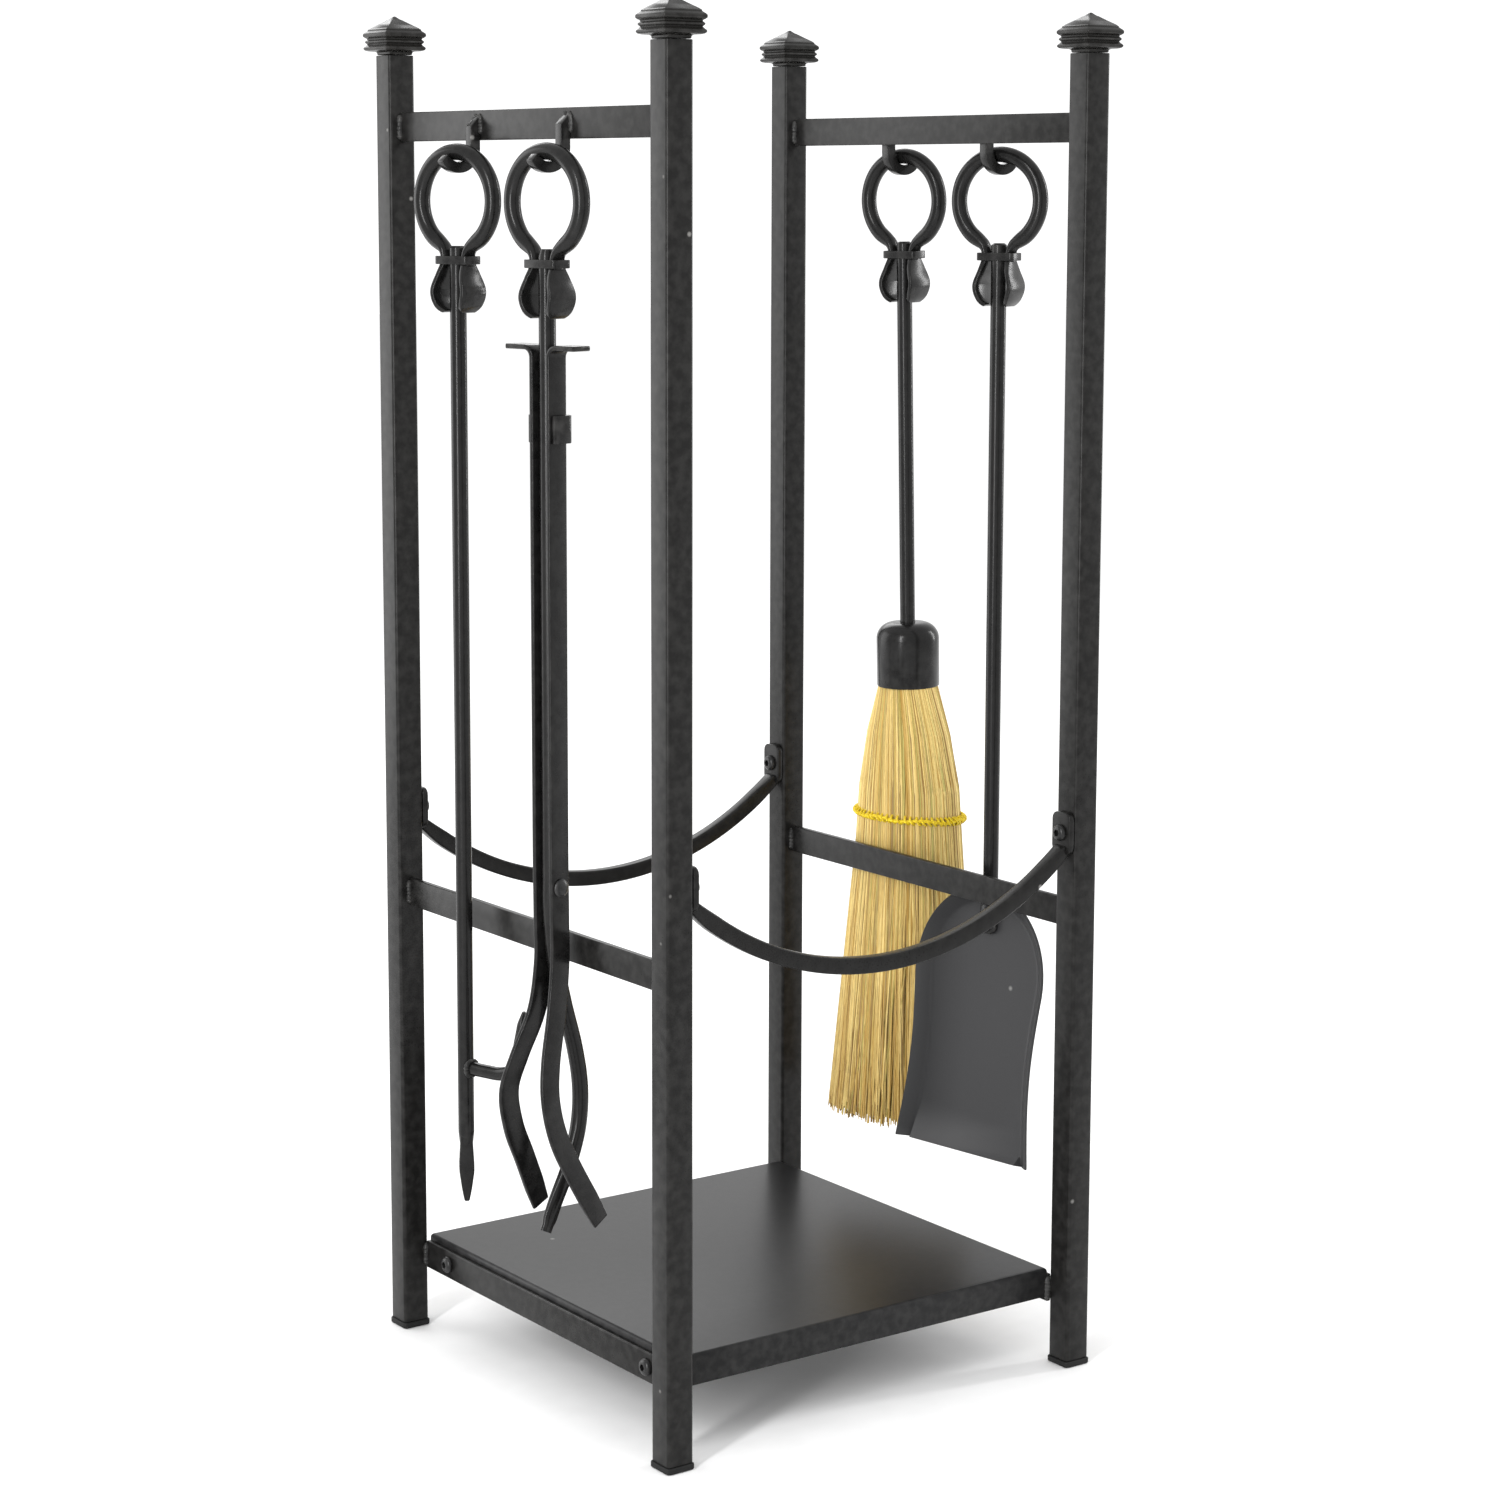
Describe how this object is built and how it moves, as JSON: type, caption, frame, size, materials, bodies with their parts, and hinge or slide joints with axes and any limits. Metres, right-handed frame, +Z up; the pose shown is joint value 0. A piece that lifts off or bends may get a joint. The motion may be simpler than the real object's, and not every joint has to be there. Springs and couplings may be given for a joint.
{
  "type": "fireplace tool set",
  "caption": "Square steel log rack with a shelf, sagging log retainers and finials; poker, clawed tongs, straw brush and shovel hang from its side hooks.",
  "frame": {"origin": "on the floor, under the middle of the rack's four posts", "axes": "+X to the right (brush and shovel side), +Y to the back, +Z up"},
  "size_m": [0.4142, 0.3342, 0.844],
  "materials": {
    "powder_coat": "satin black powder coat on steel",
    "cast_finial": "black paint on a rough casting",
    "foot_plastic": "matt black moulded plastic",
    "black_bolt": "black oxide steel, semi-gloss",
    "straw": "natural broom straw",
    "yellow_thread": "twisted yellow cord"
  },
  "bodies": {
    "rack": {"post_front_left": "powder_coat", "foot_front_left": "foot_plastic", "finial_front_left": "cast_finial", "post_back_left": "powder_coat", "foot_back_left": "foot_plastic", "finial_back_left": "cast_finial", "post_front_right": "powder_coat", "foot_front_right": "foot_plastic", "finial_front_right": "cast_finial", "post_back_right": "powder_coat", "foot_back_right": "foot_plastic", "finial_back_right": "cast_finial", "left_top_rail": "powder_coat", "left_mid_rail": "powder_coat", "left_base_rail": "powder_coat", "hook_left_front": "powder_coat", "shelf_bolt_left_front": "black_bolt", "hook_left_back": "powder_coat", "shelf_bolt_left_back": "black_bolt", "right_top_rail": "powder_coat", "right_mid_rail": "powder_coat", "right_base_rail": "powder_coat", "hook_right_front": "powder_coat", "shelf_bolt_right_front": "black_bolt", "hook_right_back": "powder_coat", "shelf_bolt_right_back": "black_bolt", "shelf": "powder_coat", "front_log_retainer": "powder_coat", "retainer_bolt_front_left": "black_bolt", "retainer_bolt_front_right": "black_bolt", "back_log_retainer": "powder_coat", "retainer_bolt_back_left": "black_bolt", "retainer_bolt_back_right": "black_bolt"},
    "poker": {"poker_handle_ring": "powder_coat", "poker_collar": "powder_coat", "poker_shaft": "powder_coat", "poker_prong": "powder_coat"},
    "tongs": {"tongs_handle_ring": "powder_coat", "tongs_collar": "powder_coat", "tongs_rod": "powder_coat"},
    "tongs_arms": {"tongs_arm_back": "powder_coat", "tongs_arm_front": "powder_coat", "tongs_keeper": "powder_coat", "tongs_rivet": "black_bolt"},
    "brush": {"brush_handle_ring": "powder_coat", "brush_collar": "powder_coat", "brush_shaft": "powder_coat", "brush_cap": "powder_coat", "brush_bristles": "straw", "brush_stitching": "yellow_thread"},
    "shovel": {"shovel_handle_ring": "powder_coat", "shovel_collar": "powder_coat", "shovel_pan": "powder_coat", "shovel_shaft": "powder_coat", "shovel_rivet_upper": "black_bolt", "shovel_rivet_lower": "black_bolt"}
  },
  "joints": [
    {"name": "poker_lift_off", "type": "slide", "parent": "rack", "child": "poker", "axis": [-0.5, 0, 0.866], "range_m": [0, 0.25]},
    {"name": "tongs_lift_off", "type": "slide", "parent": "rack", "child": "tongs", "axis": [-0.5, 0, 0.866], "range_m": [0, 0.25]},
    {"name": "tongs_open", "type": "hinge", "parent": "tongs", "child": "tongs_arms", "pos_m": [-0.1693, -0.05, 0.33041], "axis": [-0.1908, 0.9816, 0], "range_deg": [0, 20]},
    {"name": "brush_lift_off", "type": "slide", "parent": "rack", "child": "brush", "axis": [0.5, 0, 0.866], "range_m": [0, 0.25]},
    {"name": "shovel_lift_off", "type": "slide", "parent": "rack", "child": "shovel", "axis": [0.5, 0, 0.866], "range_m": [0, 0.25]}
  ]
}
